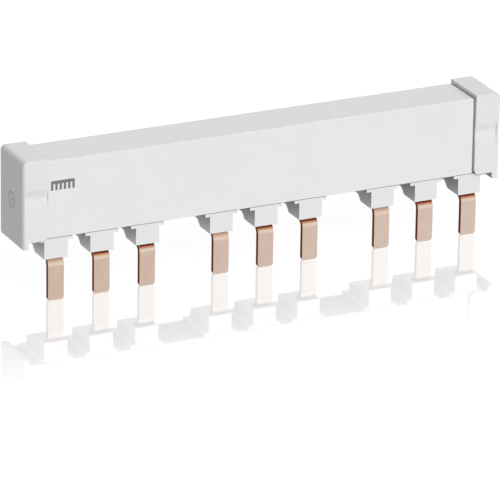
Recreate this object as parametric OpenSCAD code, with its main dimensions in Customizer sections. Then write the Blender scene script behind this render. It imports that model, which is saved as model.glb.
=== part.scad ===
// Comb busbar for three-pole motor starters.
// Three stamped copper combs stand on edge in an insulating housing. Their bent fingers leave
// through moulded feet and line up in one plane at the front, where the terminals clamp them.
// X runs along the bar, Y from front to back, Z up. The origin is on the front contact face of
// the middle finger, at half the height of the contact zone.

/* [Poles] */
// Distance between neighbouring poles of one device
pole_pitch = 14.85; // [13:0.05:16.5]
// Distance between neighbouring devices
device_pitch = 54; // [49:0.5:63]
// Number of devices side by side
devices = 3; // [2:1:4]
// Busbar left of the first finger
left_margin = 10.95; // [10.6:0.05:14]
// Busbar right of the last finger
right_margin = 9.35; // [9.1:0.05:14]

/* [Cover] */
// Depth of the cover from front to back
body_depth = 15.5; // [15:0.1:16.5]
// Height of the cover
body_height = 24.25; // [22:0.25:30]
// Height of the cover's lower edge above the middle of the contact zone
body_lift = 13.7; // [12.5:0.1:18]
// Thickness of the cover's walls and top
cover_wall = 1.4; // [1.3:0.1:1.7]
// Rounding of the cover's long top edges
cover_edge_r = 0.2; // [0.1:0.05:1]
// Fitting clearance between pieces
fit = 0.1; // [0.05:0.01:0.18]

/* [Carrier] */
// Thickness of the carrier's floor
floor_t = 1.3; // [1.1:0.1:2]
// Thickness of the partitions between the bars
partition_t = 1; // [0.8:0.1:1.3]
// Space between the partitions and the cover's top
partition_gap = 0.3; // [0.2:0.1:1]
// Radius of the snap beads along the floor's edges
bead_r = 0.4; // [0.25:0.05:0.5]
// Seam between the cover's lower edge and the flanges
seam = 0.12; // [0.05:0.01:0.3]

/* [Feet] */
// Width of a foot
foot_w = 7.6; // [7:0.1:8.5]
// Reach of the feet below the cover
foot_drop = 6.55; // [6.2:0.05:8]
// Depth of a foot's sole from the front
foot_flat = 7.2; // [6.8:0.1:8]
// Height of the heel above the sole, reached at 45 degrees
foot_rise = 1.85; // [1.2:0.05:2.1]
// Plastic behind the hindmost bar's slot
foot_wall = 0.9; // [0.4:0.05:1]
// Rounding of the heel
foot_r = 1.1; // [0.3:0.1:1.4]
// Width of the flange at the head of a foot
flange_w = 10.8; // [9.5:0.1:12]
// Height of the flange
flange_h = 1.1; // [0.8:0.1:1.6]

/* [Copper] */
// Thickness of the copper strip
bar_t = 1.5; // [1.2:0.1:1.8]
// Height of the strip inside the housing
bar_h = 14; // [10:0.5:16]
// Distance between the bars from front to back
bar_pitch = 4.2; // [3.9:0.1:4.5]
// Strip beyond the outer fingers' centres
bar_overrun = 6; // [4:0.5:6.5]
// Width of a finger
finger_w = 5.1; // [4.5:0.1:5.5]
// Reach of the fingers below the feet
finger_len = 13.3; // [11:0.1:16]
// Rounding of the finger tips
tip_r = 0.9; // [0.3:0.1:2]
// Rounding of the roots where the fingers leave the strip
root_r = 1; // [0.5:0.1:1.5]
// Inner radius of the bends
bend_r = 1.5; // [1:0.1:1.7]
// Upper end of the straight blade below the foot
low_bend_drop = 2.65; // [2.2:0.05:3.2]
// Depth below the cover at which a finger stands upright again
high_bend_drop = 0.3; // [0:0.1:1]

/* [End caps] */
// Length of a cap
cap_len = 8.05; // [7.8:0.05:10]
// Thickness of the end wall
cap_end_t = 1.9; // [1.2:0.1:2.4]
// Step from the cover's surface down to the seat of the cap
cap_seat = 0.7; // [0.3:0.1:0.8]
// Gap between the left cap's mouth and the shoulder of the cover
left_cap_gap = 0.3; // [0.1:0.05:0.6]
// The same at the right cap, which is pushed on less far
right_cap_gap = 0.6; // [0.1:0.05:0.9]
// Height of a cap above the cover's top
cap_proud_top = 1.1; // [0.6:0.1:1.6]
// Height of a cap above the cover's front and back
cap_proud_side = 0.8; // [0.5:0.1:1.4]
// Reach of a cap's side walls below the cover
cap_drop = 0.3; // [0.2:0.05:0.6]
// Reach of the end wall below the cover
lip_drop = 2.4; // [1.6:0.1:4]
// Rounding between a side wall and the end wall's lip
lip_r = 0.6; // [0.4:0.1:1.2]
// Rounding of the mouth's lower corners
mouth_r = 1.6; // [0.6:0.1:2.4]
// Rounding of the outer face's top edge
cap_top_r = 1.5; // [0.5:0.1:1.7]
// Rounding of one upright edge of the outer face
cap_corner_r = 1.2; // [0.5:0.1:1.5]
// Rounding of its other upright edge
cap_crisp_r = 0.25; // [0.1:0.05:0.5]
// Rounding of the cap's long top edges
cap_edge_r = 0.2; // [0.1:0.05:0.9]
// Rounding of the lip's lower edges
lip_edge_r = 0.4; // [0.2:0.05:0.6]
// Distance of the finger grip's edge below the cap's top
grip_drop = 9.1; // [6:0.1:11]
// Depth of the finger grip
grip_depth = 0.45; // [0.3:0.05:0.65]
// Height from the grip's edge down to its deepest line
grip_fall = 2.8; // [2.4:0.1:4]
// Height from there down to its lower end
grip_rise = 4.2; // [3:0.1:7]
// Rounding between the two flat flanks of the grip
grip_r = 6; // [2:0.5:8]
// Distance of the grip from the outer face
grip_margin = 0.8; // [0.6:0.1:2]

/* [Hidden] */
plastic = "#E8E8EA";
copper = "#C98F6E";
// Segments of an arc, and of the round snap beads
arc_steps = 10;
bead_steps = 48;
// How far a cut runs past the surface
cut = 1;
poles = 3;

// Along the bar
middle_pole = (poles - 1) / 2;
middle_device = (devices - 1) / 2;
outer_finger_x = middle_device * device_pitch + middle_pole * pole_pitch;
left_end = -outer_finger_x - left_margin;
right_end = outer_finger_x + right_margin;
spigot_left = left_end + cap_end_t + 2 * fit;
spigot_right = right_end - cap_end_t - 2 * fit;

// Heights
body_top = body_lift + body_height;
floor_mid = body_lift + floor_t / 2;
floor_top = body_lift + floor_t;
seam_z = body_lift - seam;
flange_z = body_lift - flange_h;
foot_z = body_lift - foot_drop;
heel_z = foot_z + foot_rise;
tip_z = foot_z - finger_len;
strip_z = floor_top + root_r;
low_bend_z = foot_z - low_bend_drop;
high_bend_z = body_lift - high_bend_drop;
cap_top = body_top + cap_proud_top;
cap_z = body_lift - cap_drop;
lip_z = body_lift - lip_drop;

// From front to back
mid_y = body_depth / 2;
floor_front = cover_wall + fit;
floor_back = body_depth - cover_wall - fit;
seat_front = cap_seat;
seat_back = body_depth - cap_seat;
cap_half_w = mid_y + cap_proud_side;
function bar_y(pole) = mid_y - bar_t / 2 + (pole - middle_pole) * bar_pitch;
function finger_x(device, pole) =
    (device - middle_device) * device_pitch + (pole - middle_pole) * pole_pitch;

// Points of an arc round centre c, with the angle going from a to b
function arc(c, r, a, b, steps = arc_steps) =
    [for (i = [0:steps]) let (t = a + (b - a) * i / steps) c + r * [cos(t), sin(t)]];

// Side outline of a bent finger, front to back and up, for a strip whose front face is at y.
// Between its two bends the finger leans back by the angle lean. The centres of the bends lie
// on either side of it, and their distance square to it is both radii and the thickness. grow
// widens the outline all round, for the slot in the foot.
function finger_side(y, low, high, grow = 0) =
    let (
        low_c = [bend_r + bar_t, low_bend_z],
        high_c = [y - bend_r, high_bend_z],
        span = high_c - low_c,
        lean = acos(-(2 * bend_r + bar_t) / norm(span)) - atan2(span.y, span.x),
        inner = bend_r - grow,
        outer = bend_r + bar_t + grow
    )
    concat(
        [[-grow, low]],
        arc(low_c, outer, 180, 180 - lean),
        arc(high_c, inner, -lean, 0),
        [[y - grow, high], [y + bar_t + grow, high]],
        arc(high_c, outer, 0, -lean),
        arc(low_c, inner, 180 - lean, 180),
        [[bar_t + grow, low]]
    );

// Outline of a strip with the roots of its fingers, seen from the front
function strip_front(pole) =
    let (
        first = finger_x(0, pole),
        last = finger_x(devices - 1, pole),
        half_w = finger_w / 2
    )
    concat(
        [[first - bar_overrun, strip_z + bar_h], [last + bar_overrun, strip_z + bar_h]],
        [[last + bar_overrun, strip_z]],
        [for (d = [devices - 1:-1:0]) let (x = finger_x(d, pole)) each concat(
            arc([x + half_w + root_r, strip_z - root_r], root_r, 90, 180),
            [[x + half_w, floor_mid], [x - half_w, floor_mid]],
            arc([x - half_w - root_r, strip_z - root_r], root_r, 0, 90)
        )],
        [[first - bar_overrun, strip_z]]
    );

// Outline of a finger's blade with its rounded tip, seen from the front
function blade_front(x, top) =
    let (half_w = finger_w / 2)
    concat(
        arc([x - half_w + tip_r, tip_z + tip_r], tip_r, 180, 270),
        arc([x + half_w - tip_r, tip_z + tip_r], tip_r, 270, 360),
        [[x + half_w, top], [x - half_w, top]]
    );

// Outline from the side of a box with rounded long top edges
function crowned(y0, y1, z0, z1, r) =
    concat([[y0, z0]], arc([y0 + r, z1 - r], r, 180, 90), arc([y1 - r, z1 - r], r, 90, 0), [[y1, z0]]);

// Outline of a cap's side wall, from the mouth at 0 to the outer face, with grow all round
function cap_side(grow = 0) =
    concat(
        [[-grow, cap_top + grow]],
        arc([mouth_r, cap_z + mouth_r], mouth_r + grow, 180, 270),
        arc([cap_len - cap_end_t - lip_r, cap_z - lip_r], lip_r - grow, 90, 0),
        [[cap_len - cap_end_t - grow, lip_z - grow]],
        arc([cap_len - lip_edge_r, lip_z + lip_edge_r], lip_edge_r + grow, 270, 360),
        arc([cap_len - cap_top_r, cap_top - cap_top_r], cap_top_r + grow, 0, 90)
    );

// Extrudes an outline of [y, z] points along X
module along_x(x0, x1) {
    translate([x0, 0, 0]) rotate([90, 0, 90]) linear_extrude(x1 - x0) children();
}

// Extrudes an outline of [x, z] points along Y
module along_y(y0, y1) {
    translate([0, y1, 0]) rotate([90, 0, 0]) linear_extrude(y1 - y0) children();
}

// Places a cap, drawn with its mouth at 0 and its end wall to the right, at the left end
module at_left_end() {
    translate([left_end + cap_len, mid_y, 0]) rotate([0, 0, 180]) children();
}

// The same at the right end
module at_right_end() {
    translate([right_end - cap_len, mid_y, 0]) children();
}

// What a cap, grown by a gap, takes away from the cover and the feet outside its seat
module cap_space(grow) {
    difference() {
        along_y(-body_depth, body_depth) polygon(cap_side(grow));
        translate([-body_depth / 2, seat_front - mid_y, 0])
            cube([cap_len + body_depth, seat_back - seat_front, body_top - cap_seat]);
    }
}

// Long channel, open below, with a stepped seat for a cap at each end
module cover() {
    color(plastic) difference() {
        along_x(spigot_left, spigot_right)
            polygon(crowned(0, body_depth, body_lift, body_top, cover_edge_r));
        along_x(spigot_left - cut, spigot_right + cut) {
            translate([cover_wall, body_lift - cut])
                square([body_depth - 2 * cover_wall, body_height - cover_wall + cut]);
            for (y = [floor_front, floor_back])
                translate([y, floor_mid]) circle(r = bead_r + fit, $fn = bead_steps);
        }
        at_left_end() cap_space(left_cap_gap);
        at_right_end() cap_space(right_cap_gap);
    }
}

// Foot that guides a finger to the front, with a sole in front and a higher heel behind
module foot(x) {
    back = bar_y(poles - 1) + bar_t + foot_wall;
    along_x(x - foot_w / 2, x + foot_w / 2) polygon(concat(
        [[0, seam_z], [0, foot_z], [foot_flat, foot_z], [foot_flat + foot_rise, heel_z]],
        arc([back - foot_r, heel_z + foot_r], foot_r, 270, 360),
        [[back, seam_z]]
    ));
}

// Flange at the head of a foot, below both edges of the cover and fused to the floor between
module flange(x) {
    along_x(x - flange_w / 2, x + flange_w / 2) polygon([
        [0, flange_z], [body_depth, flange_z], [body_depth, seam_z], [floor_back, seam_z],
        [floor_back, floor_mid], [floor_front, floor_mid], [floor_front, seam_z], [0, seam_z]
    ]);
}

// Slot of one finger through its foot and the floor
module finger_slot(x, pole) {
    along_x(x - finger_w / 2 - fit, x + finger_w / 2 + fit)
        polygon(finger_side(bar_y(pole), low_bend_z - cut, floor_top + cut, fit));
}

// Moulded strip that closes the cover below, with the feet and the partitions between the bars
module carrier() {
    color(plastic) difference() {
        union() {
            translate([spigot_left + fit, floor_front, body_lift])
                cube([spigot_right - spigot_left - 2 * fit, floor_back - floor_front, floor_t]);
            along_x(spigot_left + fit, spigot_right - fit)
                for (y = [floor_front, floor_back])
                    translate([y, floor_mid]) circle(r = bead_r, $fn = bead_steps);
            for (gap = [0:poles - 2])
                translate([
                    spigot_left + fit,
                    (bar_y(gap) + bar_y(gap + 1) + bar_t - partition_t) / 2,
                    floor_mid
                ])
                    cube([
                        spigot_right - spigot_left - 2 * fit,
                        partition_t,
                        body_top - cover_wall - partition_gap - floor_mid
                    ]);
            for (d = [0:devices - 1], p = [0:poles - 1]) {
                foot(finger_x(d, p));
                flange(finger_x(d, p));
            }
        }
        for (d = [0:devices - 1], p = [0:poles - 1]) finger_slot(finger_x(d, p), p);
        at_left_end() cap_space(fit);
        at_right_end() cap_space(fit);
    }
}

// One stamped comb: a strip on edge with a bent finger for each device
module busbar(pole) {
    y = bar_y(pole);
    overlap = bar_t;
    color(copper) {
        along_y(y, y + bar_t) polygon(strip_front(pole));
        for (d = [0:devices - 1]) {
            x = finger_x(d, pole);
            along_x(x - finger_w / 2, x + finger_w / 2)
                polygon(finger_side(y, tip_z + tip_r + overlap, floor_top));
            along_y(0, bar_t) polygon(blade_front(x, tip_z + tip_r + 2 * overlap));
        }
    }
}

// Angle at which a flank of a grip touches its rounded bottom. The flank runs straight from there
// to the face, which it meets at a height above or below the deepest line.
function flank_angle(height) =
    let (span = [grip_depth - grip_r, height])
    atan2(span.y, span.x) + acos(grip_r / norm(span));

// Hollow of the finger grip in one side wall, steep above its deepest line and flatter below
module grip(side) {
    deepest = cap_top - grip_drop - grip_fall;
    hollow = concat(
        [[cut, grip_fall], [0, grip_fall]],
        arc([grip_r - grip_depth, 0], grip_r, flank_angle(grip_fall), 360 - flank_angle(grip_rise)),
        [[0, -grip_rise], [cut, -grip_rise]]
    );
    along_x(-cut, cap_len - grip_margin)
        polygon([for (p = hollow) [side * (cap_half_w + p.x), deepest + p.y]]);
}

// End cap: a thin-walled box, open at the mouth and below, with a lip on its end wall
module end_cap() {
    inner_half_w = mid_y - cap_seat + fit;
    color(plastic) difference() {
        intersection() {
            along_y(-cap_half_w, cap_half_w) polygon(cap_side());
            along_x(0, cap_len) polygon(concat(
                arc([lip_edge_r - cap_half_w, lip_z + lip_edge_r], lip_edge_r, 270, 180),
                arc([cap_edge_r - cap_half_w, cap_top - cap_edge_r], cap_edge_r, 180, 90),
                arc([cap_half_w - cap_edge_r, cap_top - cap_edge_r], cap_edge_r, 90, 0),
                arc([cap_half_w - lip_edge_r, lip_z + lip_edge_r], lip_edge_r, 0, -90)
            ));
            linear_extrude(cap_top + cut) polygon(concat(
                [[0, -cap_half_w]],
                arc([cap_len - cap_crisp_r, cap_crisp_r - cap_half_w], cap_crisp_r, 270, 360),
                arc([cap_len - cap_corner_r, cap_half_w - cap_corner_r], cap_corner_r, 0, 90),
                [[0, cap_half_w]]
            ));
        }
        translate([-cut, -inner_half_w, lip_z - cut])
            cube([
                cap_len - cap_end_t + cut,
                2 * inner_half_w,
                body_top - cap_seat + fit - lip_z + cut
            ]);
        grip(-1);
        grip(1);
    }
}

cover();
carrier();
busbar(0);  // busbar_l1
busbar(1);  // busbar_l2
busbar(2);  // busbar_l3
at_left_end() end_cap();  // end_cap_left
at_right_end() end_cap();  // end_cap_right
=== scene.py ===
"""Looks of a comb busbar: white moulded housing, clip-on end caps and bent copper fingers.

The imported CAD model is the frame. Each moulded or stamped piece is a copy of its CAD node with
softened edges and a procedural finish, and stands where the node stands. Lengths are in metres.
"""

import logging
import math
from dataclasses import dataclass
from enum import Enum
from functools import reduce
from operator import and_, or_
from typing import Sequence, TypeAlias

import bmesh
import bpy
import numpy as np
from mathutils import Matrix, Vector


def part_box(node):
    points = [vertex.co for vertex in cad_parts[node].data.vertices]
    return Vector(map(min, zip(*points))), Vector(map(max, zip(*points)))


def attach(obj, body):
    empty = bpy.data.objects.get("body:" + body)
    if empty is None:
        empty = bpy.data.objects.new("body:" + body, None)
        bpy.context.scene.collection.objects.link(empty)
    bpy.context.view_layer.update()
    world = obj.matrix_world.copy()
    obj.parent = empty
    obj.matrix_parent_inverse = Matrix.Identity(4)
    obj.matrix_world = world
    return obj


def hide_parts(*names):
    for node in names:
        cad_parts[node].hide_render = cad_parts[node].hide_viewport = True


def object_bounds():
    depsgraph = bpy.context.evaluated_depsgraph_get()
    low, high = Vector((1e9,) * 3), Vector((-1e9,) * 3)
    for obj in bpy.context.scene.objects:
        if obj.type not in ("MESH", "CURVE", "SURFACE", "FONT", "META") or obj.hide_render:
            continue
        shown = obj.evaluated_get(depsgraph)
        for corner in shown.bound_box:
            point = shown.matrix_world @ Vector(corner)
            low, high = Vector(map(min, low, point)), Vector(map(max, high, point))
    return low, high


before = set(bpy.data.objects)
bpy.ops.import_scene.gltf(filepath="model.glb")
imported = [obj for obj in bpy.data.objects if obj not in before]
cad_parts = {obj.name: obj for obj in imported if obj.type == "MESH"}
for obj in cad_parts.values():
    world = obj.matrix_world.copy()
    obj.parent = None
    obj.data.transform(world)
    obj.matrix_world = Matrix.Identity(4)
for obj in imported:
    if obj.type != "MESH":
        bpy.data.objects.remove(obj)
cad_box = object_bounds()

MM = 0.001
POLE_PITCH = 14.85 * MM
DEVICE_PITCH = 54.0 * MM
FINGERS_X = tuple(device * DEVICE_PITCH + pole * POLE_PITCH
                  for device in (-1, 0, 1) for pole in (-1, 0, 1))
TIP_Z = cad_box[0][2]
WHITE = (1.0, 1.0, 1.0, 1.0)
Term: TypeAlias = "Field | bpy.types.NodeSocket | float | Sequence[float]"
log = logging.getLogger("comb_busbar")


class Side(Enum):
    """End of the busbar, with the sign of its outward direction along X."""

    LEFT = -1
    RIGHT = 1


class Graph:
    """Node tree of one material or of the world."""

    def __init__(self, tree: bpy.types.NodeTree) -> None:
        """Empties the tree that the nodes are added to."""
        self.tree = tree
        tree.nodes.clear()

    def add(self, kind: str, settings: dict[str, object] | None = None,
            **inputs: Term) -> bpy.types.Node:
        """Adds a node, sets it and feeds its sockets.

        Args:
            kind: Blender's type name of the node.
            settings: Properties of the node; the key "stops" holds a ramp's (place, colour) pairs.
            **inputs: Value, Field or socket for each input, by name in lower case with
                underscores, or by number after an underscore.

        Returns:
            The new node.
        """
        node = self.tree.nodes.new(kind)
        for name, value in (settings or {}).items():
            if name == "stops":
                self._set_stops(node, value)
            else:
                setattr(node, name, value)
        for name, value in inputs.items():
            socket = self._input(node, name)
            source = value.socket if isinstance(value, Field) else value
            if isinstance(source, bpy.types.NodeSocket):
                self.tree.links.new(source, socket)
            else:
                socket.default_value = source
        return node

    def field(self, kind: str, output: str | int = 0, settings: dict[str, object] | None = None,
              **inputs: Term) -> "Field":
        """Adds a node as the method add does, and wraps the output of a name or number."""
        return Field(self, self.add(kind, settings, **inputs).outputs[output])

    def parts(self, vector: bpy.types.NodeSocket) -> "list[Field]":
        """Splits a vector into its three numbers."""
        split = self.add("ShaderNodeSeparateXYZ", vector=vector)
        return [Field(self, output) for output in split.outputs]

    def normal(self, kind: str = "Normal") -> "list[Field]":
        """Splits the surface's normal, smooth or, as the kind True Normal, that of the face."""
        return self.parts(self.add("ShaderNodeNewGeometry").outputs[kind])

    def rays(self, *kinds: str) -> "Field":
        """Mask that is 1 for a ray of one of the kinds, by the Light Path node's names."""
        path = self.add("ShaderNodeLightPath")
        return reduce(or_, (Field(self, path.outputs[kind]) for kind in kinds))

    def blend(self, factor: Term, low: Term, high: Term) -> "Field":
        """Mixes two colours, where the factor is the share of the second."""
        node = self.add("ShaderNodeMix", {"data_type": "RGBA"}, _0=factor, _6=low, _7=high)
        return Field(self, node.outputs[2])

    def ramp(self, value: Term, *stops: tuple[float, Sequence[float]]) -> "Field":
        """Turns a number from 0 to 1 into a colour, by the places and colours of the stops."""
        return self.field("ShaderNodeValToRGB", 0, {"stops": stops}, fac=value)

    def mix(self, factor: Term, first: bpy.types.Node, second: bpy.types.Node) -> bpy.types.Node:
        """Mixes the shaders of two nodes, where the factor is the share of the second."""
        shaders = {"_1": first.outputs[0], "_2": second.outputs[0]}
        return self.add("ShaderNodeMixShader", _0=factor, **shaders)

    @staticmethod
    def _input(node: bpy.types.Node, name: str) -> bpy.types.NodeSocket:
        """Finds an input of a node.

        Args:
            node: The node.
            name: Name in lower case with underscores, or number after an underscore.

        Returns:
            The socket.
        """
        if name.startswith("_"):
            return node.inputs[int(name[1:])]
        wanted = name.replace("_", " ")
        return next(s for s in node.inputs if s.name.lower() == wanted and s.enabled)

    @staticmethod
    def _set_stops(node: bpy.types.Node, stops: Sequence[tuple[float, Sequence[float]]]) -> None:
        """Puts a colour ramp's stops in place.

        Args:
            node: The ramp.
            stops: Places and colours.
        """
        elements = node.color_ramp.elements
        while len(elements) > 1:
            elements.remove(elements[-1])
        for i, (place, colour) in enumerate(stops):
            element = elements[0] if i == 0 else elements.new(place)
            element.position = place
            element.color = (*colour[:3], 1.0)


class Field:
    """Socket that carries a number or colour over a surface, with arithmetic for numbers."""

    def __init__(self, graph: Graph, socket: bpy.types.NodeSocket) -> None:
        """Wraps an output socket of a node, in the graph that Math nodes are added to."""
        self.graph = graph
        self.socket = socket

    def _math(self, operation: str, *terms: Term, clamp: bool = False) -> "Field":
        """Adds a Math node.

        Args:
            operation: What the node works out.
            *terms: Its inputs in order.
            clamp: Whether the result is kept from 0 to 1.

        Returns:
            The result.
        """
        sockets = {f"_{i}": term for i, term in enumerate(terms)}
        settings = {"operation": operation, "use_clamp": clamp}
        return self.graph.field("ShaderNodeMath", 0, settings, **sockets)

    def __add__(self, other: Term) -> "Field":
        """Sum."""
        return self._math("ADD", self, other)

    __radd__ = __add__

    def __sub__(self, other: Term) -> "Field":
        """Difference."""
        return self._math("SUBTRACT", self, other)

    def __rsub__(self, other: Term) -> "Field":
        """Difference from a number."""
        return self._math("SUBTRACT", other, self)

    def __mul__(self, other: Term) -> "Field":
        """Product."""
        return self._math("MULTIPLY", self, other)

    __rmul__ = __mul__

    def __abs__(self) -> "Field":
        """Size without sign."""
        return self._math("ABSOLUTE", self)

    def __or__(self, other: Term) -> "Field":
        """Larger of the two, which joins two masks."""
        return self._math("MAXIMUM", self, other)

    __ror__ = __or__

    def __and__(self, other: Term) -> "Field":
        """Smaller of the two, which cuts one mask by another."""
        return self._math("MINIMUM", self, other)

    __rand__ = __and__

    def root(self) -> "Field":
        """Square root."""
        return self._math("SQRT", self)

    def to_nearest(self, half_period: float) -> "Field":
        """Distance to the nearest of a row of lines, which are two half periods apart."""
        return self._math("PINGPONG", self, half_period)

    def below(self, edge: float, soft: float) -> "Field":
        """Mask that is 1 under an edge and 0 over it; the change is centred on it, soft wide."""
        ahead = (edge - self) * (1.0 / soft)
        return self._math("ADD", ahead, 0.5, clamp=True)

    def above(self, edge: float, soft: float) -> "Field":
        """Mask that is 0 under an edge and 1 over it; the change is centred on it, soft wide."""
        return 1.0 - self.below(edge, soft)


@dataclass(frozen=True)
class Rgb:
    """Colour as it is seen on a screen, from 0 to 255."""

    red: float
    green: float
    blue: float

    def linear(self) -> tuple[float, float, float, float]:
        """Works out the linear colour with full alpha, by the sRGB curve.

        Returns:
            Red, green, blue and alpha, from 0 to 1.
        """
        parts = np.array((self.red, self.green, self.blue)) / 255.0
        lin = np.where(parts <= 0.04045, parts / 12.92, ((parts + 0.055) / 1.055) ** 2.4)
        return (*(float(v) for v in lin), 1.0)


# The carrier and the caps are a shade darker than the cover.
DULL_WHITE = Rgb(229, 229, 229)
DULL_CLOUD = Rgb(226, 226, 227)


@dataclass(frozen=True)
class Noise:
    """Procedural pattern of numbers round one half."""

    scale: float
    detail: float
    roughness: float

    def over(self, graph: Graph, place: bpy.types.NodeSocket) -> Field:
        """Lays the pattern over a piece, by coordinates on it, in the graph of its finish."""
        return graph.field("ShaderNodeTexNoise", 0, {"noise_dimensions": "3D"}, vector=place,
                           scale=self.scale, detail=self.detail, roughness=self.roughness)


@dataclass(frozen=True)
class JointShade:
    """Painted shade on the faces that look into a joint between two mouldings.

    The faces lie in a box, whose open sides are None, or outside it.
    """

    low: tuple[float | None, float | None, float | None] = (None, None, None)
    high: tuple[float | None, float | None, float | None] = (None, None, None)
    outside: bool = False
    # Colour of the painted shade in the joint.
    tone: Rgb = Rgb(185, 185, 188)
    soft: float = 0.03 * MM

    def mask(self, place: Sequence[Field]) -> Field:
        """Builds the mask as the least of one ramp for each side of the box.

        Args:
            place: The three Object coordinates.

        Returns:
            1 on the faces in the joint, 0 elsewhere.
        """
        sides = [(axis, sign, limit * sign) for sign, limits in ((-1.0, self.low), (1.0, self.high))
                 for axis, limit in enumerate(limits) if limit is not None]
        inside = reduce(and_, ((place[axis] * sign).below(edge, self.soft)
                               for axis, sign, edge in sides))
        return 1.0 - inside if self.outside else inside


@dataclass(frozen=True)
class RootShade:
    """Painted shade and light on the feet's sides: darker where they meet the housing and towards
    the right end, lightest at the soles near the left end.

    The sides are known by the part of their normal along the bar, and turned holds the edge and
    the width of that mask.
    """

    sole_z: float = 7.15 * MM
    root_z: float = 13.6 * MM
    # Painted light at the soles, strongest at the left end, and painted shade at the roots.
    sole_left: Rgb = Rgb(242, 242, 246)
    sole_right: Rgb = Rgb(204, 204, 207)
    root: Rgb = Rgb(146, 146, 150)
    turned: tuple[float, float] = (0.7, 0.2)

    def sides(self, graph: Graph) -> Field:
        """Builds the mask of the faces that look along the bar."""
        return abs(graph.normal("True Normal")[0]).above(*self.turned)

    def tones(self, graph: Graph, place: Sequence[Field]) -> Field:
        """Builds the painted shade and light by height and by place along the bar, even from end to
        end.

        Args:
            graph: Graph of the carrier's finish.
            place: The three Object coordinates.

        Returns:
            The colour.
        """
        middle, reach = (self.sole_z + self.root_z) / 2, self.root_z - self.sole_z
        low = place[2].below(middle, reach)
        left = place[0].below(0.0, FINGERS_X[-1] - FINGERS_X[0])
        sole = graph.blend(left, self.sole_right.linear(), self.sole_left.linear())
        return graph.blend(low, self.root.linear(), sole)


@dataclass(frozen=True)
class PrintedMark:
    """Plain pictogram of a comb, a bar with six teeth, printed on the cover's front."""

    centre_x: float = -66.7 * MM
    centre_z: float = 30.1 * MM
    width: float = 7.6 * MM
    height: float = 3.0 * MM
    spine: float = 1.0 * MM
    tooth: float = 0.75 * MM
    teeth: int = 6
    soft: float = 0.06 * MM
    front: float = 0.5 * MM
    ink: Rgb = Rgb(118, 118, 120)

    def mask(self, place: Sequence[Field]) -> Field:
        """Builds the print's mask from the distances to its spine and to the nearest tooth.

        Args:
            place: The three Object coordinates.

        Returns:
            1 on the print, 0 beside it.
        """
        across = place[0] - self.centre_x
        up = place[2] - self.centre_z
        half_pitch = (self.width - self.tooth) / (self.teeth - 1) / 2
        offset = half_pitch if self.teeth % 2 == 0 else 0.0
        teeth = (across + offset).to_nearest(half_pitch).below(self.tooth / 2, self.soft)
        spine = abs(up - (self.height - self.spine) / 2).below(self.spine / 2, self.soft)
        inside = (abs(across).below(self.width / 2, self.soft)
                  & abs(up).below(self.height / 2, self.soft))
        return (spine | teeth) & inside & place[1].below(self.front, self.soft)


@dataclass(frozen=True)
class SunkRing:
    """Shallow moulded ring and dot on a cap's end face, with painted shade in them.

    The depth is in steps of the plastic's relief.
    """

    side: Side
    centre_y: float = 7.75 * MM
    centre_z: float = 24.7 * MM
    radius: float = 2.3 * MM
    width: float = 0.5 * MM
    dot: float = 0.5 * MM
    end_x: float = 77.0 * MM
    soft: float = 0.2 * MM
    depth: float = 2.0
    # Colour of the painted shade in the ring and the dot.
    shade: Rgb = Rgb(196, 196, 197)

    def mask(self, place: Sequence[Field]) -> Field:
        """Builds the mask from the distance to the ring's circle and to its middle.

        Args:
            place: The three Object coordinates.

        Returns:
            1 in the ring and the dot, 0 on the flat face.
        """
        across = place[1] - self.centre_y
        up = place[2] - self.centre_z
        distance = (across * across + up * up).root()
        ring = abs(distance - self.radius).below(self.width / 2, self.soft)
        dot = distance.below(self.dot, self.soft)
        outward = place[0] * float(self.side.value)
        return (ring | dot) & outward.above(self.end_x, self.soft)


def new_material(name: str) -> tuple[bpy.types.Material, Graph]:
    """Makes a material with an empty tree.

    Args:
        name: Name of the material.

    Returns:
        The material and its graph.
    """
    mat = bpy.data.materials.new(name)
    mat.use_nodes = True
    return mat, Graph(mat.node_tree)


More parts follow.
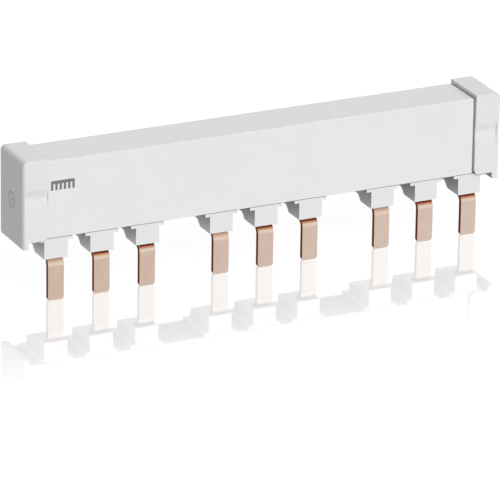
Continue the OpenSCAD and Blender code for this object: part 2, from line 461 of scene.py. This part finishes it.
@dataclass(frozen=True)
class MouldedPlastic:
    """White glass-filled plastic, smooth, with a faint spark-eroded grain and flow clouds.

    The height of the grain is in steps of the relief. The seed shifts the patterns along
    seed_way, so that no two mouldings are alike.
    """

    name: str
    colour: Rgb = Rgb(231, 231, 231)
    cloud: Rgb = Rgb(228, 228, 229)
    clouds: Noise = Noise(55.0, 2.0, 0.5)
    grain: Noise = Noise(2600.0, 2.0, 0.6)
    grain_height: float = 0.025
    relief: float = 0.1 * MM
    roughness: float = 0.5
    cloud_roughness: float = 0.06
    grain_roughness: float = 0.08
    print_roughness: float = 0.1
    specular: float = 0.35
    seed: float = 0.0
    seed_way: tuple[float, float, float] = (1.0, 0.7, 1.3)

    def material(self, joint: JointShade, root: RootShade | None = None,
                 mark: PrintedMark | None = None,
                 stamp: SunkRing | None = None) -> bpy.types.Material:
        """Builds the finish.

        Args:
            joint: Painted shade of the faces in the joints.
            root: Painted shade and light on the feet's sides, if there are any.
            mark: Print on the surface, if any.
            stamp: Moulded ring on the surface, with its painted shade, if any.

        Returns:
            The material.
        """
        mat, graph = new_material(self.name)
        here = graph.add("ShaderNodeTexCoord").outputs["Object"]
        place = graph.parts(here)
        shift = tuple(self.seed * step for step in self.seed_way)
        moved = graph.add("ShaderNodeMapping", vector=here, location=shift).outputs[0]
        clouds = self.clouds.over(graph, moved)
        grain = self.grain.over(graph, moved)
        colour = graph.blend(clouds, self.colour.linear(), self.cloud.linear())
        roughness = (self.roughness + (clouds - 0.5) * self.cloud_roughness
                     + (grain - 0.5) * self.grain_roughness)
        height = grain * self.grain_height
        if mark is not None:
            printed = mark.mask(place)
            colour = graph.blend(printed, colour, mark.ink.linear())
            roughness = roughness + printed * self.print_roughness
        if stamp is not None:
            # Painted shade in the sunk ring and dot.
            sunk = stamp.mask(place)
            colour = graph.blend(sunk, colour, stamp.shade.linear())
            height = height - sunk * stamp.depth
        # Painted shade and light on the feet's sides.
        if root is not None:
            colour = graph.blend(root.sides(graph), colour, root.tones(graph, place))
        # Painted shade in the joints.
        colour = graph.blend(joint.mask(place), colour, joint.tone.linear())
        bump = graph.add("ShaderNodeBump", strength=1.0, distance=self.relief, height=height)
        shader = graph.add("ShaderNodeBsdfPrincipled", base_color=colour, roughness=roughness,
                           specular_ior_level=self.specular, normal=bump.outputs[0])
        graph.add("ShaderNodeOutputMaterial", surface=shader.outputs[0])
        return mat


@dataclass(frozen=True)
class StampedCopper:
    """Bare rolled copper: faintly drawn faces, painted highlights on the edges, and painted shade
    on the sheared sides, on the bend and where the fingers enter the feet.

    The faces go from the colour face to the colour deep by a share that is set at the middle of the
    bar and falls a set amount a metre to the right, so that they are darker towards the left, with
    drawn lines and tarnish. The painted highlight and shade of the bend lie in even steps of the
    normal's height, which is the sine of a bent stretch's slant. The sheared sides are duller
    metal, darkened further by painted shade. The masks bent, rounded, sidelong and rearward go by
    the normal too, and each holds its edge and the width of its change.
    """

    name: str
    face: Rgb = Rgb(211, 193, 179)
    deep: Rgb = Rgb(203, 177, 160)
    # Painted shade where the fingers enter the feet.
    painted_root_shade: Rgb = Rgb(140, 80, 55)
    grazing: Rgb = Rgb(240, 195, 185)
    # Painted highlight on the rounded edges.
    edge_painted_highlight: Rgb = Rgb(233, 197, 181)
    # Sheared sides: duller metal with painted shade.
    sheared_and_painted_shade: Rgb = Rgb(78, 44, 42)
    # Painted highlight and shade of the bend, from the least slant to the most.
    bend_highlight_and_shade: tuple[Rgb, ...] = (Rgb(220, 202, 187), Rgb(220, 201, 180), Rgb(211, 183, 155),
                             Rgb(197, 150, 122), Rgb(182, 96, 66), Rgb(165, 58, 34))
    bend_from: float = 0.2
    bend_step: float = 0.1
    bent: tuple[float, float] = (0.06, 0.12)
    rounded: tuple[float, float] = (0.275, 0.15)
    sidelong: tuple[float, float] = (0.81, 0.18)
    rearward: tuple[float, float] = (-0.35, 0.2)
    drawn: Noise = Noise(2400.0, 3.0, 0.6)
    tarnish: Noise = Noise(240.0, 3.0, 0.55)
    drawn_stretch: float = 0.05
    drawn_wear: float = 0.5
    tarnish_wear: float = 1.2
    # Share of the deep colour at the middle of the bar, and its fall a metre to the right.
    deep_share_middle: float = 0.41
    deep_share_fall: float = 4.1
    roughness: float = 0.34
    drawn_roughness: float = 0.16
    tarnish_roughness: float = 0.1
    line_strength: float = 0.35
    line_depth: float = 0.03 * MM
    root_z: float = 6.5 * MM
    root_fade: float = 2.0 * MM
    seed: float = 0.0

    def colour(self, graph: Graph, place: Sequence[Field], drawn: Field, tarnish: Field) -> Field:
        """Builds the colour from the drawn lines, tarnish and place along the bar, with painted
        highlight and shade on the bend, the roots, the edges and the sheared sides.

        Args:
            graph: Graph of the finish.
            place: The three Object coordinates.
            drawn: Pattern of the drawn lines.
            tarnish: Pattern of the tarnish.

        Returns:
            The colour.
        """
        across, depth, up = graph.normal()
        # Drawn lines and tarnish, with a steady darkening towards the left.
        deep_share = ((tarnish - 0.5) * self.tarnish_wear + (drawn - 0.5) * self.drawn_wear
                + (self.deep_share_middle - place[0] * self.deep_share_fall))
        colour = graph.blend(deep_share, self.face.linear(), self.deep.linear())
        # Painted highlight and shade of the bend, stepped by the slant.
        tones = ((self.bend_from + self.bend_step * i, tone.linear())
                 for i, tone in enumerate(self.bend_highlight_and_shade))
        colour = graph.blend(up.above(*self.bent), colour, graph.ramp(up, *tones))
        # Painted shade where the fingers enter the feet.
        painted_root_shade = place[2].above(self.root_z, self.root_fade)
        colour = graph.blend(painted_root_shade, colour, self.painted_root_shade.linear())
        # Painted highlight on the rounded edges.
        edge = abs(across).above(*self.rounded)
        colour = graph.blend(edge, colour, self.edge_painted_highlight.linear())
        # Sheared sides: duller metal, darkened further by painted shade.
        shear_and_shade_mask = abs(across).above(*self.sidelong) | (edge & depth.above(*self.rearward))
        return graph.blend(shear_and_shade_mask, colour, self.sheared_and_painted_shade.linear())

    def material(self) -> bpy.types.Material:
        """Builds the finish.

        Returns:
            The material.
        """
        mat, graph = new_material(self.name)
        here = graph.add("ShaderNodeTexCoord").outputs["Object"]
        stretched = graph.add("ShaderNodeMapping", vector=here, location=(self.seed, 0.0, 0.0),
                              scale=(1.0, 1.0, self.drawn_stretch)).outputs[0]
        drawn = self.drawn.over(graph, stretched)
        tarnish = self.tarnish.over(graph, here)
        colour = self.colour(graph, graph.parts(here), drawn, tarnish)
        roughness = (self.roughness + (drawn - 0.5) * self.drawn_roughness
                     + (tarnish - 0.5) * self.tarnish_roughness)
        bump = graph.add("ShaderNodeBump", strength=self.line_strength, distance=self.line_depth,
                         height=drawn)
        shader = graph.add("ShaderNodeBsdfPrincipled", base_color=colour, metallic=1.0,
                           roughness=roughness, specular_tint=self.grazing.linear(),
                           normal=bump.outputs[0])
        graph.add("ShaderNodeOutputMaterial", surface=shader.outputs[0])
        return mat


def read_all(items: Sequence, name: str, width: int = 1, kind: type = float) -> np.ndarray:
    """Reads one property of all of a mesh's items as a whole array.

    Args:
        items: The mesh's vertices, edges, faces, corners or normals.
        name: Name of the property.
        width: How many numbers it has.
        kind: Their type.

    Returns:
        The numbers, with one row for each item where it has more than one.
    """
    values = np.zeros(len(items) * width, kind)
    items.foreach_get(name, values)
    return values if width == 1 else values.reshape(-1, width)


@dataclass
class SoftenedCopy:
    """Copy of a CAD node, merged and freed of flat seams, with its sharp edges softened.

    Angles are in degrees. The edges that are kept out stay sharp: those in a slot for a finger,
    of which the first number is the half width, and those over the height that the second gives.
    """

    node: str
    piece: str
    width: float = 0.06 * MM
    segments: int = 2
    keep_out: tuple[float, float] | None = None
    merge: float = 0.002 * MM
    flat: float = 0.4
    sharp_from: float = 10.0
    soft_from: float = 30.0

    def build(self) -> bpy.types.Object:
        """Makes the copy and puts it in the node's place.

        Returns:
            The new object, which rides on the body and replaces the node.
        """
        mesh = self._clean_mesh()
        softened = self._mark(mesh)
        piece = bpy.data.objects.new(self.piece, mesh)
        bpy.context.scene.collection.objects.link(piece)
        bevel = piece.modifiers.new("softened_edges", "BEVEL")
        bevel.limit_method = "WEIGHT"
        bevel.width = self.width
        bevel.segments = self.segments
        bevel.use_clamp_overlap = False
        bevel.miter_outer = "MITER_SHARP"
        weighted = piece.modifiers.new("flat_faces", "WEIGHTED_NORMAL")
        weighted.keep_sharp = True
        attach(piece, "root")
        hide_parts(self.node)
        log.info("%s: %d faces, %d softened edges", self.piece, len(mesh.polygons), softened)
        return piece

    def _clean_mesh(self) -> bpy.types.Mesh:
        """Copies the node's mesh, merges its loose triangles and dissolves its flat seams.

        Returns:
            The mesh, with no material and no mark on its edges.
        """
        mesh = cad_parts[self.node].data.copy()
        mesh.name = self.piece
        mesh.materials.clear()
        work = bmesh.new()
        work.from_mesh(mesh)
        bmesh.ops.remove_doubles(work, verts=work.verts, dist=self.merge)
        bmesh.ops.dissolve_limit(work, angle_limit=math.radians(self.flat), verts=work.verts,
                                 edges=work.edges)
        work.to_mesh(mesh)
        work.free()
        for name in ("sharp_edge", "sharp_face", "custom_normal"):
            if name in mesh.attributes:
                mesh.attributes.remove(mesh.attributes[name])
        return mesh

    @staticmethod
    def _folds(mesh: bpy.types.Mesh) -> np.ndarray:
        """Works out each edge's fold, the angle between the normals of its two faces.

        The corners are sorted by edge, so that the two corners of an edge, and with them its two
        faces, follow each other.

        Args:
            mesh: Mesh of the copy.

        Returns:
            The folds in degrees, 0 at an edge that hasn't two faces.
        """
        normals = read_all(mesh.polygon_normals, "vector", 3)
        face = np.zeros(len(mesh.loops), int)
        face[read_all(mesh.polygons, "loop_start", kind=int)[1:]] = 1
        face = np.cumsum(face)
        edge = read_all(mesh.loops, "edge_index", kind=int)
        order = np.argsort(edge, kind="stable")
        counts = np.bincount(edge, minlength=len(mesh.edges))
        first = np.cumsum(counts) - counts
        paired = counts == 2
        one, two = (normals[face[order[first[paired] + i]]] for i in range(2))
        folds = np.zeros(len(mesh.edges))
        folds[paired] = np.degrees(np.arccos(np.clip((one * two).sum(1), -1, 1)))
        return folds

    def _mark(self, mesh: bpy.types.Mesh) -> int:
        """Marks sharp edges, and gives the sharpest among them the bevel's weight.

        An edge with a fold over sharp_from is sharp, and over soft_from it is softened, unless
        it is kept out.

        Args:
            mesh: Mesh of the copy.

        Returns:
            Number of softened edges.
        """
        folds = self._folds(mesh)
        ends = read_all(mesh.vertices, "co", 3)[read_all(mesh.edges, "vertices", 2, int)]
        soft = folds > self.soft_from
        if self.keep_out is not None:
            half, top = self.keep_out
            offsets = np.abs(ends[:, :, 0, None] - np.array(FINGERS_X)).min(axis=2)
            soft &= ~((offsets < half).all(axis=1) | (ends[:, :, 2] > top).any(axis=1))
        marks = mesh.attributes.new("sharp_edge", "BOOLEAN", "EDGE")
        marks.data.foreach_set("value", (folds > self.sharp_from) & ~soft)
        weights = mesh.attributes.new("bevel_weight_edge", "FLOAT", "EDGE")
        weights.data.foreach_set("value", soft.astype(float))
        mesh.polygons.foreach_set("use_smooth", np.ones(len(mesh.polygons), bool))
        mesh.update()
        return int(soft.sum())


@dataclass
class Housing:
    """Cover and carrier, the two long mouldings.

    The cover's joint faces, which get painted shade, are its lower edge, under seam_z, and those
    from its shoulder at the right cap on. The carrier's are the tops of its flanges and all that is
    over them.
    """

    edge: float = 0.06 * MM
    slot_half: float = 2.9 * MM
    floor_z: float = 13.6 * MM
    right_shoulder: float = 69.55 * MM
    seam_z: float = 13.72 * MM
    flange_z: float = 13.56 * MM
    # Painted shade for the joint faces of the cover and of the carrier.
    shoulder_painted_shade: Rgb = Rgb(205, 205, 206)
    flange_painted_shade: Rgb = Rgb(110, 110, 112)
    cover_finish: MouldedPlastic = MouldedPlastic("cover_plastic")
    carrier_finish: MouldedPlastic = MouldedPlastic("carrier_plastic", colour=DULL_WHITE,
                                                    cloud=DULL_CLOUD, seed=0.31)
    mark: PrintedMark = PrintedMark()

    def build(self) -> None:
        """Makes and dresses both mouldings."""
        cover = SoftenedCopy("cover", "cover_moulding", self.edge).build()
        # Painted shade on the cover's lower edge and on its seat under the right cap.
        beyond = JointShade(low=(None, None, self.seam_z), high=(self.right_shoulder, None, None),
                            outside=True, tone=self.shoulder_painted_shade)
        cover.data.materials.append(self.cover_finish.material(beyond, mark=self.mark))
        carrier = SoftenedCopy("carrier", "carrier_moulding", self.edge,
                               keep_out=(self.slot_half, self.floor_z)).build()
        # Painted shade on the flanges' tops, in the seam under the cover.
        over = JointShade(low=(None, None, self.flange_z), tone=self.flange_painted_shade)
        carrier.data.materials.append(self.carrier_finish.material(over, root=RootShade()))


@dataclass
class Combs:
    """The three stamped combs, one for each pole."""

    edge: float = 0.08 * MM
    segments: int = 3
    seed_step: float = 0.013
    nodes: tuple[str, ...] = ("busbar_l1", "busbar_l2", "busbar_l3")

    def build(self) -> None:
        """Makes and dresses the combs."""
        for i, node in enumerate(self.nodes):
            comb = SoftenedCopy(node, f"copper_comb_{i + 1}", self.edge, self.segments).build()
            finish = StampedCopper(f"copper_{i + 1}", seed=self.seed_step * i)
            comb.data.materials.append(finish.material())


@dataclass
class EndCap:
    """Cap pushed over one end of the housing."""

    side: Side
    edge: float = 0.06 * MM
    half_wall: float = 0.95 * MM
    seed: float = 0.5
    seed_step: float = 0.1

    def build(self) -> None:
        """Makes and dresses the cap.

        Its joint faces, which get painted shade, lie inside the cover's front, back and top, and
        inwards of the middle of its end wall.
        """
        name = self.side.name.lower()
        cap = SoftenedCopy(f"end_cap_{name}", f"cap_moulding_{name}", self.edge).build()
        cap_low, cap_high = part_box(f"end_cap_{name}")
        low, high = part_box("cover")
        wall_low = cap_low[0] + self.half_wall if self.side is Side.LEFT else None
        wall_high = cap_high[0] - self.half_wall if self.side is Side.RIGHT else None
        # Painted shade on the cap's faces inside the joint.
        inner = JointShade(low=(wall_low, low[1], None), high=(wall_high, high[1], high[2]))
        finish = MouldedPlastic(f"cap_plastic_{name}", colour=DULL_WHITE, cloud=DULL_CLOUD,
                                seed=self.seed + self.seed_step * self.side.value)
        cap.data.materials.append(finish.material(inner, stamp=SunkRing(self.side)))


@dataclass(frozen=True)
class SoftLight:
    """Round patch of the surround that gives light, bright in the middle and soft at its rim."""

    towards: tuple[float, float, float]
    strength: float
    rim: float = 0.87
    softness: float = 0.18

    def power(self, direction: Sequence[Field]) -> Field:
        """Builds the light by direction, from the cosine of the angle to the patch's middle.

        Args:
            direction: The three coordinates of a world direction.

        Returns:
            The strength in the patch and 0 outside it.
        """
        middle = Vector(self.towards).normalized()
        x, y, z = direction
        cosine = x * middle.x + y * middle.y + z * middle.z
        return cosine.above(self.rim, self.softness) * self.strength


def grey(level: float) -> tuple[float, float, float, float]:
    """Linear grey with full alpha."""
    return (level, level, level, 1.0)


@dataclass
class Studio:
    """White floor with a faint mirror image, in a white surround with four soft lights.

    The lights from the left are slightly cool. The mirror image is whole up to fade_near from
    the line of the finger tips, which reaches bar_half to each side, and gone at fade_far.
    """

    floor_half: float = 3.0
    floor_points: int = 9
    floor_drop: float = 0.02 * MM
    bar_half: float = 70.0 * MM
    lights: tuple[SoftLight, ...] = (
        SoftLight((0.2, -0.69, 0.64), 3.91),
        SoftLight((-0.71, -0.71, 0.15), 1.22),
        SoftLight((-0.6, 0.8, 0.1), 0.68),
        SoftLight((0.6, 0.78, 0.2), 1.85),
    )
    cool: Rgb = Rgb(249, 248, 255)
    cool_from: float = -0.4
    cool_soft: float = 0.2
    bounce: float = 0.5
    shadow_share: float = 0.3
    shadow_white: float = 0.8
    glow: float = 1.27
    mirror: float = 0.33
    mirror_roughness: float = 0.02
    fade_near: float = 28.0 * MM
    fade_far: float = 87.0 * MM

    def build(self) -> None:
        """Makes the floor and the surround."""
        self._floor()
        self._surround()

    def _floor(self) -> None:
        """Lays an even square grid of points at one height, just under the finger tips."""
        side = np.linspace(-self.floor_half, self.floor_half, self.floor_points)
        x, y = np.meshgrid(side, side, indexing="ij")
        level = np.full_like(x, TIP_Z - self.floor_drop)
        points = np.stack((x, y, level), axis=-1).reshape(-1, 3)
        index = np.arange(x.size).reshape(x.shape)
        faces = np.stack((index[:-1, :-1], index[1:, :-1], index[1:, 1:], index[:-1, 1:]), axis=-1)
        mesh = bpy.data.meshes.new("studio_floor")
        mesh.from_pydata(points.tolist(), [], faces.reshape(-1, 4).tolist())
        mesh.materials.append(self._floor_finish())
        floor = bpy.data.objects.new("studio_floor", mesh)
        bpy.context.scene.collection.objects.link(floor)

    def _floor_finish(self) -> bpy.types.Material:
        """Builds the floor's finish by the kind of ray.

        The camera sees a white glow, mixed by shadow_share with a shaded white that takes the
        part's shadow, and the fading image over both. From below it sees nothing, so that the
        underside can be looked at. Reflections see plain white. All other rays meet a diffuse
        floor, which sends light up to the part.

        Returns:
            The material.
        """
        mat, graph = new_material("studio_white")
        along, front, _ = graph.parts(graph.add("ShaderNodeTexCoord").outputs["Object"])
        beyond = (abs(along) - self.bar_half) | 0.0
        distance = (beyond * beyond + front * front).root()
        middle, width = (self.fade_near + self.fade_far) / 2, self.fade_far - self.fade_near
        share = distance.below(middle, width) * self.mirror
        glow = graph.add("ShaderNodeEmission", color=WHITE, strength=self.glow)
        shaded = graph.add("ShaderNodeBsdfDiffuse", color=grey(self.shadow_white))
        image = graph.add("ShaderNodeBsdfGlossy", color=WHITE, roughness=self.mirror_roughness)
        seen = graph.mix(share, graph.mix(self.shadow_share, glow, shaded), image)
        diffuse = graph.add("ShaderNodeBsdfDiffuse", color=grey(self.bounce))
        plain = graph.add("ShaderNodeEmission", color=WHITE, strength=1.0)
        unseen = graph.mix(graph.rays("Is Glossy Ray", "Is Transmission Ray"), diffuse, plain)
        direct = graph.rays("Is Camera Ray")
        below = direct & graph.field("ShaderNodeNewGeometry", "Backfacing")
        clear = graph.add("ShaderNodeBsdfTransparent")
        final = graph.mix(below, graph.mix(direct, unseen, seen), clear)
        graph.add("ShaderNodeOutputMaterial", surface=final.outputs[0])
        return mat

    def _surround(self) -> None:
        """Makes the world, white for the eye and in reflections, with the patches of light."""
        world = bpy.data.worlds.new("surround")
        bpy.context.scene.world = world
        world.use_nodes = True
        graph = Graph(world.node_tree)
        seen = graph.rays("Is Camera Ray", "Is Glossy Ray", "Is Transmission Ray")
        unseen = 1.0 - seen
        direction = graph.parts(graph.add("ShaderNodeTexCoord").outputs["Generated"])
        power = seen
        for light in self.lights:
            power = power + light.power(direction) * unseen
        cool = unseen & direction[0].below(self.cool_from, self.cool_soft)
        colour = graph.blend(cool, WHITE, self.cool.linear())
        back = graph.add("ShaderNodeBackground", color=colour, strength=power)
        graph.add("ShaderNodeOutputWorld", surface=back.outputs[0])


@dataclass
class Camera:
    """Long lens at the place that was worked out from the photograph, with angles in degrees."""

    azimuth: float = 25.63
    elevation: float = 21.20
    roll: float = 0.88
    distance: float = 1.60375
    aim: tuple[float, float, float] = (-5.23 * MM, 0.0, 0.0)
    focal_pixels: float = 5322.27
    frame_pixels: float = 500.0
    sensor: float = 36.0
    clip_near: float = 0.05
    clip_far: float = 20.0

    def build(self) -> None:
        """Places the camera. Its back axis points from the aim to the eye."""
        a, e, r = (math.radians(v) for v in (self.azimuth, self.elevation, self.roll))
        back = Vector((-math.sin(a) * math.cos(e), -math.cos(a) * math.cos(e), math.sin(e)))
        level = Vector((math.cos(a), -math.sin(a), 0.0))
        upright = back.cross(level)
        right = math.cos(r) * level + math.sin(r) * upright
        up = math.cos(r) * upright - math.sin(r) * level
        data = bpy.data.cameras.new("camera")
        data.sensor_width = self.sensor
        data.lens = self.focal_pixels / self.frame_pixels * self.sensor
        data.clip_start, data.clip_end = self.clip_near, self.clip_far
        camera = bpy.data.objects.new("camera", data)
        bpy.context.scene.collection.objects.link(camera)
        turn = Matrix((right, up, back)).transposed().to_4x4()
        camera.matrix_world = Matrix.Translation(Vector(self.aim) + back * self.distance) @ turn
        bpy.context.scene.camera = camera


def main() -> None:
    """Builds the scene in order and reports each piece."""
    logging.basicConfig(level=logging.INFO, format="%(name)s: %(message)s")
    Camera().build()
    Studio().build()
    Housing().build()
    Combs().build()
    for side in Side:
        EndCap(side).build()
    bpy.context.scene.view_settings.view_transform = "Standard"
    bpy.context.view_layer.update()


if __name__ == "__main__":
    main()
